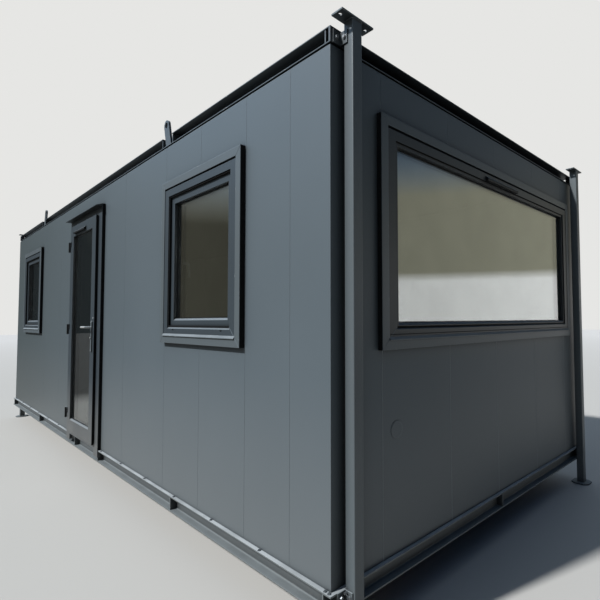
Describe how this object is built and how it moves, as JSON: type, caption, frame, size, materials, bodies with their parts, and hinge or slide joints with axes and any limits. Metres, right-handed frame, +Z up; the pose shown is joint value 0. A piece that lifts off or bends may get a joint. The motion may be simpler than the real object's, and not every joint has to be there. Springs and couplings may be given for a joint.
{
  "type": "portable site cabin",
  "caption": "Long flat-roofed site cabin with a glazed door, opening windows in front, a wide end window, corner jack legs and lifting eyes.",
  "frame": {"origin": "on the ground, below the middle of the whole object's box", "axes": "+X along the cabin to the end with the wide window, -Y out of the long front with the door, +Z up"},
  "size_m": [7.574, 3.186, 2.9452],
  "materials": {
    "chassis_steel": "satin paint, dusty near the ground",
    "wall_coat": "smooth coil-coated steel, matt",
    "rail_steel": "satin paint",
    "leg_steel": "satin paint",
    "roof_coat": "coil-coated steel",
    "ceiling_lining": "white lining",
    "floor_cover": "vinyl sheet",
    "trim_coat": "folded coated steel",
    "frame_profile": "moulded window profile",
    "clear_glass": "clear sealed unit",
    "black_fittings": "black moulding",
    "satin_steel": "satin",
    "threshold_metal": "anodised"
  },
  "bodies": {
    "cabin": {"chassis_front": "chassis_steel", "chassis_back": "chassis_steel", "chassis_left": "chassis_steel", "chassis_right": "chassis_steel", "chassis_joists": "chassis_steel", "front_wall_left": "wall_coat", "front_wall_right": "wall_coat", "front_wall_over_door": "wall_coat", "back_wall": "wall_coat", "left_wall": "wall_coat", "right_wall": "wall_coat", "roof_rail_front": "rail_steel", "roof_rail_back": "rail_steel", "roof_rail_left": "rail_steel", "roof_rail_right": "rail_steel", "lifting_lugs": "rail_steel", "leg_front_left": "leg_steel", "leg_back_left": "leg_steel", "leg_front_right": "leg_steel", "leg_back_right": "leg_steel", "leg_cleats": "leg_steel", "roof_deck": "roof_coat", "ceiling": "ceiling_lining", "floor_deck": "floor_cover", "near_window_trim": "trim_coat", "far_window_trim": "trim_coat", "wide_window_trim": "trim_coat", "door_canopy": "trim_coat", "near_window_frame": "frame_profile", "far_window_frame": "frame_profile", "wide_window_frame": "frame_profile", "door_frame": "frame_profile", "near_window_glass": "clear_glass", "far_window_glass": "clear_glass", "wide_window_glass": "clear_glass", "door_hinges": "black_fittings", "wide_window_vent": "black_fittings", "window_handles": "satin_steel", "door_threshold": "threshold_metal"},
    "door": {"door_leaf": "frame_profile", "door_glass": "clear_glass", "door_leaf_hinges": "black_fittings", "door_vent": "black_fittings", "door_lock_plates": "black_fittings"},
    "lever": {"door_lever": "satin_steel"}
  },
  "joints": [
    {"name": "door_swing", "type": "hinge", "parent": "cabin", "child": "door", "pos_m": [-0.463, -1.537, 1.4], "axis": [0, 0, -1], "range_deg": [0, 100]},
    {"name": "lever_turn", "type": "hinge", "parent": "door", "child": "lever", "pos_m": [0.36, -1.529, 1.42], "axis": [0, -1, 0], "range_deg": [0, 40], "stiffness_Nm_per_rad": 2, "springref_deg": -17.19}
  ]
}
